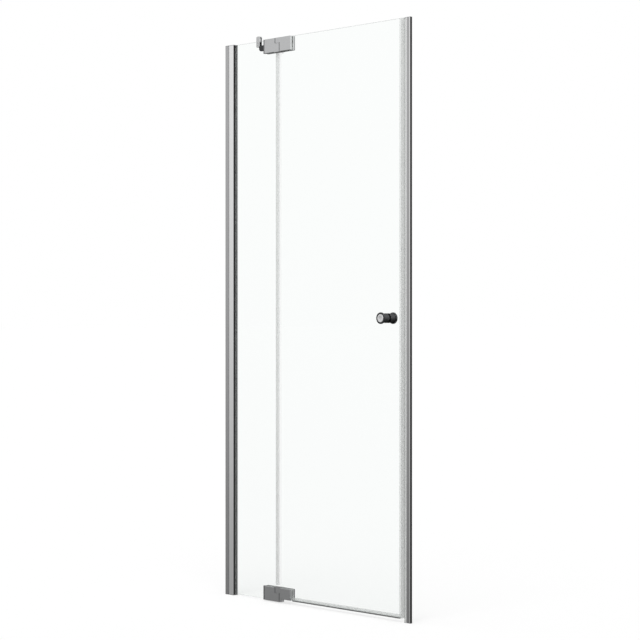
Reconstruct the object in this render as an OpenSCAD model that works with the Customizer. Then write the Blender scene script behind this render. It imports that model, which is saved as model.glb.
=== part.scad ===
// Hinged glass shower door for a niche.
// A narrow fixed pane stands in a wall profile on the left. The wide door pane turns on two
// pivot hinges whose leaves meet in a Z-shaped seam, and rises a little as it opens.
// Millimetres. x runs from left to right, y from the outside to the inside, z up.
// The origin lies on the floor line, half way across the opening, in the middle of the glass.

/* [Opening] */
// Width from wall to wall
opening_w = 900; // [880:1:930]
// Height of the wall profiles
door_h = 1950; // [1800:10:2050]
// Distance from the left wall to the hinge axis
pivot_from_wall = 274.3; // [265:0.1:290]

/* [Glass] */
// Thickness of both panes
glass_t = 6; // [5:1:6]
// Height of the fixed pane above the floor line
fixed_glass_lift = 4.5; // [3:0.5:8]
// Height of the door pane above the floor line
door_glass_lift = 13; // [11:0.5:16]
// Distance from the hinge axis to the edge of the fixed pane
fixed_glass_setback = 6.3; // [6:0.1:7]
// Distance from the hinge axis to the edge of the door pane
door_glass_setback = 2.7; // [2.5:0.1:3]
// Radius of the screw and knob holes in the glass
glass_hole_r = 7; // [6:0.5:8]
// Radius inside the hinge cut-outs
notch_r = 4; // [2:0.5:6]

/* [Left wall profile] */
// Depth of the profile from front to back
profile_d = 22; // [22:1:30]
// Width of the wall channel that shows in front
channel_w = 17; // [16:0.1:24]
// Width from the wall to the free edge of the glass profile
profile_w = 43.3; // [42:0.1:50]
// Wall thickness of the channel
channel_t = 1.5; // [1.2:0.1:2]
// Wall thickness of the glass profile
leg_t = 1.6; // [1.2:0.1:2]
// Gap between the channel and the glass profile
slide_gap = 0.1; // [0.05:0.05:0.3]
// Distance from the wall to the web that closes the glass pocket
pocket_x = 23; // [22:0.5:25]
// Thickness of the end caps
cap_t = 1.5; // [1:0.25:3]

/* [Hinges] */
// Height of one hinge
hinge_h = 49; // [45:1:55]
// Thickness of one hinge from front to back
hinge_d = 24; // [22:1:26]
// Length of the fixed leaf from the axis
fixed_leaf_l = 71.8; // [68:0.1:80]
// Length of the door leaf from the axis
door_leaf_l = 65.2; // [62:0.1:80]
// Radius of the knuckles
knuckle_r = 15.2; // [14.5:0.1:16]
// Gap between a knuckle and the leaf that it turns in
knuckle_gap = 0.4; // [0.3:0.1:0.8]
// Height of the upper knuckle, from the seam to the hinge top
upper_knuckle_h = 18.6; // [17:0.1:22]
// Gap between the upper and the lower knuckle
seam_gap = 0.6; // [0.5:0.1:1]
// Thickness of the gaskets between a leaf and the glass
gasket_t = 1; // [0.5:0.25:1.5]
// Distance from the axis to the end of the solid neck
neck_x = 17; // [16.5:0.1:17.5]
// Radius of the rounded edges
edge_r = 1.5; // [0.5:0.25:2]
// Height of the lower hinge above the floor line
lower_hinge_z = 2.5; // [2:0.5:6]
// Largest opening angle of the door
open_angle = 95; // [90:5:95]

/* [Rise and fall] */
// Height by which the door rises when it is fully open
lift = 4; // [2:0.5:4]
// Radius of the pivot pins
pin_r = 4; // [3.5:0.1:4]
// Running clearance round the pins
pin_gap = 0.05; // [0.03:0.01:0.08]
// Half the distance between the two flats that turn the pin with the door
pin_flat = 3; // [2.5:0.1:3.2]
// Outer radius of the cams
cam_r = 10; // [9:0.25:10]
// Gap between the ramps of the two cams
cam_gap = 0.2; // [0.2:0.05:0.4]
// Number of ramps round one cam
cam_ramps = 2; // [2:1:2]
// Straight steps that make up one ramp
cam_steps = 24; // [24:2:36]

/* [Knob] */
// Distance from the right wall to the knob
knob_from_wall = 108.5; // [100:0.5:140]
// Height of the knob above the floor line
knob_z = 981; // [900:1:1100]
// Length of the knob over both sides
knob_l = 63; // [55:1:70]
// Radius of the rims
knob_rim_r = 18.9; // [17.5:0.1:20]
// Radius of the waists
knob_neck_r = 15.9; // [14:0.05:16.5]
// Depth of the hollow waists
knob_waist_d = 0.45; // [0.3:0.05:1]
// Thickness of one rim
knob_rim_t = 6; // [5:0.5:8]
// Radius of the discs let into the ends
knob_disc_r = 13.4; // [12:0.1:14]
// Radius of the stud that joins both sides
stud_r = 4; // [3:0.5:5]

/* [Seals] */
// Wall thickness of the clear seals
seal_t = 1.1; // [0.8:0.1:1.1]
// Depth to which the seals grip the glass
grip = 10; // [8:0.5:12]
// Depth to which the gap seal grips the fixed pane
gap_seal_grip = 9.2; // [6:0.2:10]
// Reach of the gap seal behind the edge of the door pane
gap_seal_lap = 5.3; // [4.5:0.1:6]
// Width of the magnet chamber on the door seal
magnet_chamber_w = 11; // [9:0.5:12]
// Depth of the magnet chamber from front to back
magnet_chamber_d = 10; // [8:0.5:10]
// Height of the drip lip below the door pane
drip_h = 4; // [3:0.5:6]
// Angle of the drip fin from the vertical
drip_angle = 50; // [30:5:60]

/* [Strike profile] */
// Width of the strike profile along the opening
strike_w = 17.4; // [15:0.1:20]
// Depth of the strike profile from front to back
strike_d = 9.5; // [9:0.5:14]
// Wall thickness of the strike profile
strike_t = 1.3; // [1:0.1:1.6]
// Width of the clear strip that stands out of the strike profile
strike_seal_w = 9.4; // [8:0.1:14]
// Gap between the two magnet seals when the door is shut
closing_gap = 0.3; // [0.2:0.1:1]

/* [Wall fixing slots] */
// Number of slots in each wall profile
slot_count = 3; // [2:1:4]
// Height of the lowest slot above the floor line
slot_z = 150; // [100:10:250]
// Width of a slot
slot_w = 4.5; // [3.5:0.5:5]
// Length of a slot
slot_l = 9; // [7:0.5:12]

/* [Stabiliser holder] */
// Distance from the left wall to the middle of the stirrup
stirrup_from_wall = 168; // [165:0.5:170]
// Width of the stirrup strap
stirrup_w = 15.7; // [12:0.1:18]
// Depth of the stirrup from front to back
stirrup_d = 14; // [13:0.5:16]
// Height of the stirrup top above the wall profile
stirrup_rise = 15.8; // [14:0.1:20]
// Full height of the stirrup
stirrup_h = 38.4; // [34:0.1:44]
// Thickness of the strap
strap_t = 2.2; // [1.8:0.1:2.2]
// Height of the block between the stirrup and the upper hinge
arm_h = 20; // [16:1:22]
// Radius of the rounded corners of the strap
strap_r = 3.5; // [2:0.5:5]
// Radius of the screw hole in the top of the stirrup
bar_hole_r = 3.2; // [2.2:0.1:4]

/* [Part to show] */
// Which piece is drawn

/* [Hidden] */
$fn = 48;

chrome = [0.72, 0.73, 0.74];
bright = [0.86, 0.87, 0.88];
dark = [0.12, 0.12, 0.13];
clear = [0.86, 0.92, 0.92, 0.6];
glass = [0.88, 0.95, 0.93, 0.35];

left_wall = -opening_w / 2;
right_wall = opening_w / 2;
axis_x = left_wall + pivot_from_wall;
glass_y = glass_t / 2;
hinge_y = hinge_d / 2;
shell_y = glass_y + gasket_t;
fixed_edge = axis_x - fixed_glass_setback;
door_edge = axis_x + door_glass_setback;
lip_gap = 0.02;
strike_x = right_wall - strike_w;
strike_y = strike_d / 2;
strike_seal_x = strike_x - strike_seal_w;
door_seal_end = strike_seal_x - closing_gap;
door_end = door_seal_end - magnet_chamber_w - seal_t - lip_gap;
glass_start = left_wall + pocket_x + leg_t + 2.4;
fixed_glass_top = door_h - cap_t;
upper_hinge_z = door_h - hinge_h;
notch_x = neck_x + 1.3;
notch_z = 2;
lower_door_leaf_z = door_glass_lift;
knob_x = right_wall - knob_from_wall;
knob_y = knob_l / 2;
washer_t = 1;
eps = 0.01;

// Shared shapes

// Rectangle from (x0, y0) to (x1, y1) with round corners
module round_rect(x0, y0, x1, y1, r) {
    translate([x0 + r, y0])
        square([x1 - x0 - 2 * r, y1 - y0]);
    translate([x0, y0 + r])
        square([x1 - x0, y1 - y0 - 2 * r]);
    for (x = [x0 + r, x1 - r], y = [y0 + r, y1 - r])
        translate([x, y])
            circle(r);
}

module box(x0, x1, y0, y1, z0, z1) {
    translate([x0, y0, z0])
        cube([x1 - x0, y1 - y0, z1 - z0]);
}

// Cylinder along y from y0 to y1
module rod_y(x, z, r, y0, y1) {
    translate([x, y1, z])
        rotate([90, 0, 0])
            cylinder(r = r, h = y1 - y0);
}

// Cylinder along x from x0 to x1
module rod_x(y, z, r, x0, x1) {
    translate([x0, y, z])
        rotate([0, 90, 0])
            cylinder(r = r, h = x1 - x0);
}

// Cylinder round the hinge axis
module rod_axis(r, z0, z1) {
    translate([axis_x, 0, z0])
        cylinder(r = r, h = z1 - z0);
}

// Slots through a wall profile, long in z
module wall_slots(x0, x1) {
    pitch = (door_h - 2 * slot_z) / (slot_count - 1);
    for (i = [0 : slot_count - 1])
        for (dz = [-1, 1] * (slot_l - slot_w) / 2)
            rod_x(0, slot_z + i * pitch + dz, slot_w / 2, x0, x1);
    for (i = [0 : slot_count - 1])
        box(x0, x1, -slot_w / 2, slot_w / 2,
            slot_z + i * pitch - (slot_l - slot_w) / 2,
            slot_z + i * pitch + (slot_l - slot_w) / 2);
}

// Left wall profile

channel_y = profile_d / 2;
inner_y = channel_y - channel_t - slide_gap;
chamber_y = glass_y + 1;
screw_x = left_wall + 12.5;
screw_shank_r = 1.9;
screw_gap = 0.05;

module adjusting_positions() {
    pitch = (door_h - 2 * slot_z) / (slot_count - 1);
    for (i = [0 : slot_count - 1])
        translate([0, 0, slot_z + 60 + i * (pitch - 60)])
            children();
}

module wall_channel() {
    color(chrome)
        difference() {
            translate([0, 0, cap_t])
                linear_extrude(height = door_h - 2 * cap_t)
                    difference() {
                        translate([left_wall, -channel_y])
                            square([channel_w, profile_d]);
                        translate([left_wall + channel_t, -channel_y + channel_t])
                            square([channel_w, profile_d - 2 * channel_t]);
                    }
            wall_slots(left_wall - 1, left_wall + channel_t + 1);
            adjusting_positions() {
                for (dx = [-3, 3])
                    rod_y(screw_x + dx, 0, screw_shank_r + screw_gap, inner_y - 1, channel_y + 1);
                box(screw_x - 3, screw_x + 3, inner_y - 1, channel_y + 1,
                    -screw_shank_r - screw_gap, screw_shank_r + screw_gap);
            }
        }
}

// Section of the profile that holds the pane: two legs, a web and a hollow chamber behind the glass
module glass_profile_section() {
    x0 = left_wall + 6;
    x1 = left_wall + profile_w;
    web = left_wall + pocket_x;
    difference() {
        translate([x0, -inner_y])
            square([x1 - x0, 2 * inner_y]);
        translate([x0 - 1, -inner_y + leg_t])
            square([web - x0 + 1, 2 * inner_y - 2 * leg_t]);
        translate([web + leg_t, -inner_y + leg_t])
            square([x1 - web, chamber_y + inner_y - leg_t]);
        translate([web + leg_t, chamber_y + leg_t * 0.8])
            square([x1 - web - 2 * leg_t, inner_y - chamber_y - leg_t * 1.8]);
    }
    // Beads that keep the front gasket from creeping out
    for (x = [x1 - 4, x1 - 9])
        translate([x, -inner_y + leg_t])
            circle(0.4);
}

module glass_profile() {
    color(bright)
        difference() {
            translate([0, 0, cap_t])
                linear_extrude(height = door_h - 2 * cap_t)
                    glass_profile_section();
            adjusting_positions()
                rod_y(screw_x, 0, screw_shank_r + screw_gap, inner_y - leg_t - 1, channel_y + 1);
        }
}

// Wedge gasket in front of the glass, with a lip over the end of the front leg
module front_glazing_gasket() {
    x1 = left_wall + profile_w;
    y0 = -inner_y + leg_t + 0.45;
    color(dark)
        translate([0, 0, cap_t])
            linear_extrude(height = door_h - 2 * cap_t)
                difference() {
                    union() {
                        polygon([
                            [x1 - 15, -glass_y], [x1 - 15, -glass_y - 1.2], [x1 - 10, y0],
                            [x1 + 0.4, y0], [x1 + 0.4, -glass_y]
                        ]);
                        translate([x1 + 0.02, -inner_y])
                            square([0.9, inner_y - glass_y]);
                    }
                    translate([x1 - 5.2, -glass_y - 2.2])
                        circle(0.9);
                }
}

module rear_glazing_tape() {
    color(dark)
        box(left_wall + profile_w - 14, left_wall + profile_w - 3.5,
            glass_y, chamber_y, fixed_glass_lift, fixed_glass_top);
}

module setting_block() {
    color(dark)
        box(left_wall + pocket_x + leg_t + 3, left_wall + profile_w - 2,
            -glass_y, glass_y, cap_t, fixed_glass_lift);
}

// Plate of an end cap with two plugs; up is -1 for the cap at the top
module profile_cap(z, up) {
    color(chrome)
        translate([0, 0, z])
            mirror([0, 0, up < 0 ? 1 : 0]) {
                box(left_wall, left_wall + channel_w, -channel_y, channel_y, 0, cap_t);
                box(left_wall + channel_w - 1, left_wall + profile_w + 0.92,
                    -inner_y, inner_y, 0, cap_t);
                box(left_wall + 8, left_wall + pocket_x - 0.2,
                    -inner_y + leg_t + 0.1, inner_y - leg_t - 0.1, cap_t - eps, cap_t + 8);
                box(left_wall + pocket_x + leg_t + 0.2, left_wall + profile_w - leg_t - 0.2,
                    chamber_y + leg_t * 0.8 + 0.1, inner_y - leg_t - 0.1, cap_t - eps, cap_t + 8);
            }
}

module top_profile_cap() {
    profile_cap(door_h, -1);
}

module bottom_profile_cap() {
    profile_cap(0, 1);
}

// Pan-head screws that fix the glass profile in the channel
module adjusting_screws() {
    color(bright)
        adjusting_positions()
            difference() {
                union() {
                    rod_y(screw_x, 0, screw_shank_r, 4, channel_y + eps);
                    rod_y(screw_x, 0, 3.6, channel_y, channel_y + 1.2);
                    translate([screw_x, channel_y + 1.2 - eps, 0])
                        rotate([-90, 0, 0])
                            cylinder(r1 = 3.6, r2 = 2.6, h = 0.9);
                }
                translate([screw_x, channel_y + 2.2, 0])
                    rotate([90, 0, 0])
                        cylinder(r = 1.4, h = 1.4, $fn = 4);
            }
}

module screw_covers() {
    color(chrome)
        adjusting_positions()
            translate([screw_x, channel_y, 0])
                rotate([-90, 0, 0])
                    rotate_extrude()
                        difference() {
                            union() {
                                square([5.5, 2.4]);
                                square([4.7, 3.2]);
                                translate([4.7, 2.4])
                                    circle(0.8);
                            }
                            square([3.9, 2.2]);
                            translate([-2, -2])
                                square([2, 8]);
                        }
}

// Glass

// Corner cut-out with a round inner corner, from (0, 0) towards +x and +y
module corner_notch(w, h) {
    translate([notch_r, 0])
        square([w - notch_r, h]);
    translate([0, notch_r])
        square([w, h - notch_r]);
    translate([notch_r, notch_r])
        circle(notch_r);
}

// Holes for the screws of one leaf
fixed_screw_x = [axis_x - 29, axis_x - 57];
door_screw_x = [axis_x + 29, axis_x + 52];
fixed_screw_z = [lower_hinge_z + hinge_h / 2, upper_hinge_z + hinge_h / 2];
door_screw_z = [(lower_door_leaf_z + lower_hinge_z + hinge_h) / 2, upper_hinge_z + hinge_h / 2];

module pane(x0, x1, z0, z1) {
    rotate([90, 0, 0])
        translate([0, 0, -glass_y])
            linear_extrude(height = glass_t)
                difference() {
                    translate([x0, z0])
                        square([x1 - x0, z1 - z0]);
                    children();
                }
}

module fixed_glass() {
    w = notch_x - fixed_glass_setback + 5;
    color(glass)
        pane(glass_start, fixed_edge, fixed_glass_lift, fixed_glass_top) {
            translate([axis_x - notch_x, upper_hinge_z - notch_z])
                corner_notch(w, hinge_h + 20);
            translate([axis_x - notch_x, lower_hinge_z + hinge_h + notch_z + lift])
                mirror([0, 1])
                    corner_notch(w, hinge_h + 20);
            for (x = fixed_screw_x, z = fixed_screw_z)
                translate([x, z])
                    circle(glass_hole_r);
        }
}

module door_glass() {
    w = notch_x - door_glass_setback + 5;
    color(glass)
        pane(door_edge, door_end, door_glass_lift, door_h) {
            translate([axis_x + notch_x, upper_hinge_z - notch_z - lift])
                mirror([1, 0])
                    corner_notch(w, hinge_h + 20);
            translate([axis_x + notch_x, lower_hinge_z + hinge_h + notch_z])
                mirror([1, 0])
                    mirror([0, 1])
                        corner_notch(w, hinge_h + 20);
            for (x = door_screw_x, i = [0, 1])
                translate([x, door_screw_z[i]])
                    circle(glass_hole_r);
            translate([knob_x, knob_z])
                circle(glass_hole_r);
        }
}

// Hinges

swing_gap_r = knuckle_r + knuckle_gap;
screw_r = 3;
screw_head_r = 5.6;
screw_head_h = 2.8;
screw_hole_r = screw_r + 0.05;
countersink_r = screw_hole_r + (screw_head_r - screw_r) * (screw_head_h + 0.1) / screw_head_h;
cam_clear_r = cam_r + 0.35;
cam_depth = 10;
ramp_low = 5;
ramp_rise = lift * (360 / cam_ramps) / open_angle;
collar_r = 6;
collar_t = 2;
plug_h = 2.4;

// Plate of a leaf from the axis outwards, rounded on its far and outer edges.
// side is -1 for the fixed leaf and 1 for the door leaf. y0 and y1 are measured from the glass.
module leaf_plate(side, x0, x1, face, z0, z1) {
    y0 = shell_y;
    y1 = hinge_y;
    mirror([0, face < 0 ? 1 : 0, 0])
        translate([axis_x, 0, 0])
            mirror([side < 0 ? 1 : 0, 0, 0])
                intersection() {
                    translate([0, 0, z0])
                        linear_extrude(height = z1 - z0)
                            intersection() {
                                round_rect(x0 - 10, y0 - 10, x1, y1, edge_r);
                                translate([x0, y0])
                                    square([x1 - x0, y1 - y0]);
                            }
                    translate([x0 - 1, 0, 0])
                        rotate([90, 0, 90])
                            linear_extrude(height = x1 - x0 + 2)
                                round_rect(y0 - 10, z0, y1, z1, edge_r);
                    translate([0, y1 + 1, 0])
                        rotate([90, 0, 0])
                            linear_extrude(height = y1 - y0 + 2)
                                round_rect(x0 - 10, z0, x1, z1, edge_r);
                }
}

// Cylinder round the axis, cut flush with the front of the leaves
module knuckle(z0, z1) {
    intersection() {
        rod_axis(knuckle_r, z0, z1);
        box(axis_x - 2 * knuckle_r, axis_x + 2 * knuckle_r, -hinge_y, 2 * knuckle_r, z0 - 1, z1 + 1);
    }
}

// Block between the knuckle and the plates, through the cut-out of the glass
module neck(side, x0, z0, z1) {
    translate([axis_x, 0, 0])
        mirror([side < 0 ? 1 : 0, 0, 0])
            box(x0, neck_x, -hinge_y, hinge_y, z0, z1);
}

// Room in the plate of one leaf for the front of the other leaf as the door swings out
module swing_relief(side, z0, z1) {
    for (a = [70 : 5 : open_angle])
        translate([axis_x, 0, 0])
            mirror([side > 0 ? 1 : 0, 0, 0])
                rotate([0, 0, -a])
                    box(8, fixed_leaf_l, -hinge_y - 0.4, 0, z0, z1);
}

// Front half of the fixed leaf with the lower knuckle
module fixed_leaf(z0, z1, seam) {
    knuckle_top = seam - seam_gap / 2;
    difference() {
        union() {
            difference() {
                union() {
                    leaf_plate(-1, 9, fixed_leaf_l, -1, z0, z1);
                    neck(-1, 9, z0, z1);
                }
                rod_axis(swing_gap_r, z0 - 1, z1 + 1);
                swing_relief(-1, knuckle_top - 1, z1 + 1);
            }
            knuckle(z0, knuckle_top);
            neck(-1, 0, z0, knuckle_top);
        }
        // Seat of the cam and bore of the pin
        rod_axis(cam_r + 0.02, seam - cam_depth, z1);
        rod_axis(cam_clear_r, seam - ramp_low - 1, knuckle_top + 1);
        rod_axis(pin_r + pin_gap, z0, seam);
        rod_axis(collar_r + 0.3, z0 - 1, z0 + 1 + plug_h + collar_t + 0.2);
        for (x = fixed_screw_x)
            rod_y(x, (z0 + z1) / 2, screw_hole_r, -hinge_y + 2, 0);
    }
}

// Front half of the door leaf with the upper knuckle
module door_leaf(z0, z1, seam) {
    knuckle_low = seam + seam_gap / 2;
    difference() {
        union() {
            difference() {
                union() {
                    leaf_plate(1, 9, door_leaf_l, -1, z0, z1);
                    neck(1, 9, z0, z1);
                }
                rod_axis(swing_gap_r, z0 - 1, z1 + 1);
                swing_relief(1, z0 - 1, knuckle_low + 1);
            }
            knuckle(knuckle_low, z1);
            neck(1, 0, knuckle_low, z1);
        }
        // Seat of the cam, and a bore with two flats that slides up the pin
        rod_axis(cam_r + 0.02, seam, seam + cam_depth - 1);
        rod_axis(cam_clear_r, seam, seam + ramp_rise - ramp_low + 1);
        intersection() {
            rod_axis(pin_r + pin_gap, seam, z1 - 1.5);
            box(axis_x - pin_flat - pin_gap, axis_x + pin_flat + pin_gap, -10, 10, seam, z1);
        }
        for (x = door_screw_x)
            rod_y(x, (z0 + z1) / 2, screw_hole_r, -hinge_y + 2, 0);
    }
}

// Rear half of a leaf, with countersunk holes
module leaf_clamp(side, length, screws, z0, z1) {
    difference() {
        leaf_plate(side, neck_x + 0.3, length, 1, z0, z1);
        for (x = screws) {
            rod_y(x, (z0 + z1) / 2, screw_hole_r, 0, hinge_y + 1);
            translate([x, hinge_y + 0.05, (z0 + z1) / 2])
                rotate([90, 0, 0])
                    cylinder(r1 = countersink_r, r2 = screw_hole_r, h = screw_head_h + 0.1);
        }
    }
}

// Gaskets on both faces of the glass
module leaf_gaskets(side, length, screws, z0, z1) {
    a = axis_x + side * (notch_x + 0.5);
    b = axis_x + side * (length - 0.3);
    difference() {
        for (y = [-shell_y, glass_y])
            box(min(a, b), max(a, b), y, y + gasket_t, z0, z1);
        for (x = screws)
            rod_y(x, (z0 + z1) / 2, glass_hole_r, -hinge_y, hinge_y);
    }
}

// Countersunk screws with a hexagon socket, put in from behind
module leaf_screws(screws, z) {
    for (x = screws)
        difference() {
            union() {
                rod_y(x, z, screw_r, -hinge_y + 2.5, hinge_y - 1);
                translate([x, hinge_y - 0.05, z])
                    rotate([90, 0, 0])
                        cylinder(r1 = screw_head_r, r2 = screw_r, h = screw_head_h);
            }
            translate([x, hinge_y + 1, z])
                rotate([90, 0, 0])
                    cylinder(r = 2.3, h = 3.5, $fn = 6);
        }
}

upper_z0 = upper_hinge_z;
upper_z1 = upper_hinge_z + hinge_h;
lower_z0 = lower_hinge_z;
lower_z1 = lower_hinge_z + hinge_h;
upper_seam = upper_z1 - upper_knuckle_h;
lower_seam = lower_z1 - upper_knuckle_h;
glass_low = max(fixed_glass_lift, lower_z0);

module upper_fixed_leaf() {
    color(chrome)
        difference() {
            fixed_leaf(upper_z0, upper_z1, upper_seam);
            arm_groove();
        }
}

module upper_fixed_clamp() {
    color(chrome)
        leaf_clamp(-1, fixed_leaf_l, fixed_screw_x, upper_z0, upper_z1);
}

module upper_fixed_gaskets() {
    color(clear)
        leaf_gaskets(-1, fixed_leaf_l, fixed_screw_x, upper_z0 + 1, fixed_glass_top);
}

module upper_fixed_screws() {
    color(bright)
        leaf_screws(fixed_screw_x, fixed_screw_z[1]);
}

module lower_fixed_leaf() {
    color(chrome)
        fixed_leaf(lower_z0, lower_z1, lower_seam);
}

module lower_fixed_clamp() {
    color(chrome)
        leaf_clamp(-1, fixed_leaf_l, fixed_screw_x, lower_z0, lower_z1);
}

module lower_fixed_gaskets() {
    color(clear)
        leaf_gaskets(-1, fixed_leaf_l, fixed_screw_x, glass_low, lower_z1 - 1);
}

module lower_fixed_screws() {
    color(bright)
        leaf_screws(fixed_screw_x, fixed_screw_z[0]);
}

module upper_door_leaf() {
    color(chrome)
        door_leaf(upper_z0, upper_z1, upper_seam);
}

module upper_door_clamp() {
    color(chrome)
        leaf_clamp(1, door_leaf_l, door_screw_x, upper_z0, upper_z1);
}

module upper_door_gaskets() {
    color(clear)
        leaf_gaskets(1, door_leaf_l, door_screw_x, upper_z0 + 1, upper_z1 - 1);
}

module upper_door_screws() {
    color(bright)
        leaf_screws(door_screw_x, door_screw_z[1]);
}

module lower_door_leaf() {
    color(chrome)
        door_leaf(lower_door_leaf_z, lower_z1, lower_seam);
}

module lower_door_clamp() {
    color(chrome)
        leaf_clamp(1, door_leaf_l, door_screw_x, lower_door_leaf_z, lower_z1);
}

module lower_door_gaskets() {
    color(clear)
        leaf_gaskets(1, door_leaf_l, door_screw_x, lower_door_leaf_z + 1, lower_z1 - 1);
}

module lower_door_screws() {
    color(bright)
        leaf_screws(door_screw_x, door_screw_z[0]);
}

// Rise and fall

// Sector of a ring from r0 to r1. Its bottom climbs from bottom by bottom_rise, its top from top by top_rise.
module ramp(r0, r1, bottom, bottom_rise, top, top_rise) {
    span = 360 / cam_ramps;
    points = [
        for (i = [0 : cam_steps])
            let (a = i * span / cam_steps,
                 low = bottom + bottom_rise * i / cam_steps,
                 high = top + top_rise * i / cam_steps)
                for (p = [[r0, low], [r1, low], [r1, high], [r0, high]])
                    [p[0] * cos(a), p[0] * sin(a), p[1]]
    ];
    last = 4 * cam_steps;
    sides = [
        for (i = [0 : cam_steps - 1], k = [0 : 3])
            let (a = 4 * i + k, b = 4 * i + (k + 1) % 4)
                for (f = [[a, a + 4, b + 4], [a, b + 4, b]])
                    f
    ];
    ends = [[0, 1, 2], [0, 2, 3], [last, last + 2, last + 1], [last, last + 3, last + 2]];
    polyhedron(points = points, faces = concat(ends, sides));
}

// Ring of ramps that climb clockwise, the way the door opens
module ring_cam(bottom, bottom_rise, top, top_rise) {
    translate([axis_x, 0, 0])
        mirror([0, 1, 0])
            for (i = [0 : cam_ramps - 1])
                rotate([0, 0, i * 360 / cam_ramps])
                    ramp(pin_r + pin_gap + 0.05, cam_r, bottom, bottom_rise, top, top_rise);
}

// The fixed cam sits in the lower knuckle and points up
module fixed_cam(seam) {
    ring_cam(seam - cam_depth, 0, seam - ramp_low, ramp_rise);
}

// The door cam sits in the upper knuckle and is the fixed cam's counterpart
module door_cam(seam) {
    ring_cam(seam - ramp_low + cam_gap, ramp_rise, seam + cam_depth - 1, 0);
}

module fixed_cams() {
    color(bright)
        for (seam = [upper_seam, lower_seam])
            fixed_cam(seam);
}

module door_cams() {
    color(bright)
        for (seam = [upper_seam, lower_seam])
            door_cam(seam);
}

// Pin with a collar below and two flats above
module pivot_pin(z0, z1, seam) {
    foot = z0 + 1 + plug_h;
    flat_z = seam + cam_depth - 1.2;
    rod_axis(collar_r, foot, foot + collar_t);
    rod_axis(pin_r, foot, flat_z);
    intersection() {
        rod_axis(pin_r, foot, z1 - 2.5);
        box(axis_x - pin_flat, axis_x + pin_flat, -10, 10, foot, z1);
    }
}

module pivot_pins() {
    color(bright) {
        pivot_pin(upper_z0, upper_z1, upper_seam);
        pivot_pin(lower_z0, lower_z1, lower_seam);
    }
}

// Plugs that close the pin bores from below
module pin_plugs() {
    color(dark)
        for (z0 = [upper_z0, lower_z0])
            difference() {
                rod_axis(collar_r + 0.28, z0 + 0.9, z0 + 0.95 + plug_h);
                translate([axis_x, 0, z0])
                    cylinder(r = 2, h = 2.2, $fn = 6);
            }
}

// Knob

// Solid of one side, measured outwards from the glass
module knob_half() {
    a = glass_y + washer_t;
    b = knob_y;
    r = 1.6;
    half = (b - knob_rim_t - a) / 2 - 0.6;
    waist_r = (pow(half, 2) + pow(knob_waist_d, 2)) / (2 * knob_waist_d);
    rotate_extrude($fn = 96)
        difference() {
            union() {
                translate([0, a])
                    square([knob_neck_r, b - a - 1]);
                translate([0, b - knob_rim_t])
                    square([knob_rim_r - r, knob_rim_t]);
                translate([0, b - knob_rim_t + r])
                    square([knob_rim_r, knob_rim_t - 2 * r]);
                for (y = [b - knob_rim_t + r, b - r])
                    translate([knob_rim_r - r, y])
                        circle(r);
            }
            // Hollow waist
            translate([knob_neck_r - knob_waist_d + waist_r, (a + b - knob_rim_t) / 2])
                circle(waist_r, $fn = 240);
            // Seat of the disc, and blind bore of the stud
            translate([-1, b - 1.3])
                square([knob_disc_r + 0.05 + 1, 3]);
            translate([-1, a - 1])
                square([stud_r + 0.05 + 1, 13]);
            translate([-40, 0])
                square([40, 80]);
        }
}

module knob_front() {
    color(dark)
        translate([knob_x, 0, knob_z])
            rotate([90, 0, 0])
                knob_half();
}

module knob_back() {
    color(dark)
        translate([knob_x, 0, knob_z])
            rotate([-90, 0, 0])
                knob_half();
}

// Discs with a chamfered edge and a shallow dish
module knob_discs() {
    color(bright)
        translate([knob_x, 0, knob_z])
            for (a = [90, -90])
                rotate([a, 0, 0])
                    rotate_extrude($fn = 96)
                        polygon([
                            [0, knob_y - 1.3], [knob_disc_r, knob_y - 1.3], [knob_disc_r, knob_y - 0.5],
                            [knob_disc_r - 0.6, knob_y - 0.1], [7, knob_y - 0.4], [0, knob_y - 0.5]
                        ]);
}

module knob_stud() {
    color(bright)
        rod_y(knob_x, knob_z, stud_r, -glass_y - 11, glass_y + 11);
}

module knob_sleeve() {
    color(clear)
        difference() {
            rod_y(knob_x, knob_z, glass_hole_r - 0.1, -glass_y, glass_y);
            rod_y(knob_x, knob_z, stud_r + 0.1, -glass_y - 1, glass_y + 1);
        }
}

module knob_washers() {
    color(clear)
        difference() {
            for (y = [-glass_y - washer_t, glass_y])
                rod_y(knob_x, knob_z, knob_neck_r - 0.6, y, y + washer_t);
            rod_y(knob_x, knob_z, stud_r + 0.1, -10, 10);
        }
}

// Seals

seal_low = lower_hinge_z + hinge_h + notch_z + lift + 0.5;
seal_high = upper_hinge_z - notch_z - 0.5;

// Two flanges and a web that grip the edge of a pane; the edge lies at u = 0, the pane at u < 0
module seal_grip() {
    y0 = glass_y + lip_gap;
    for (y = [-y0 - seal_t, y0])
        translate([-grip, y])
            square([grip + lip_gap + seal_t, seal_t]);
    translate([lip_gap, -y0 - seal_t])
        square([seal_t, 2 * (y0 + seal_t)]);
}

// Clear profile on the fixed pane; its rear flange laps behind the edge of the door pane
module gap_seal() {
    y0 = glass_y + lip_gap;
    reach = fixed_glass_setback + gap_seal_lap;
    lap_y = y0 + 0.3;
    lap_t = seal_t - 0.3;
    color(clear)
        translate([fixed_edge, 0, seal_low])
            linear_extrude(height = seal_high - seal_low) {
                for (y = [-y0 - seal_t, y0])
                    translate([-gap_seal_grip, y])
                        square([gap_seal_grip + lip_gap + seal_t, seal_t]);
                translate([lip_gap, -y0 - seal_t])
                    square([seal_t, 2 * (y0 + seal_t)]);
                // The lap is thinner and stands clear of the moving pane
                translate([0, lap_y])
                    square([reach - lap_t / 2, lap_t]);
                translate([reach - lap_t / 2, lap_y + lap_t / 2])
                    circle(lap_t / 2);
            }
}

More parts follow.
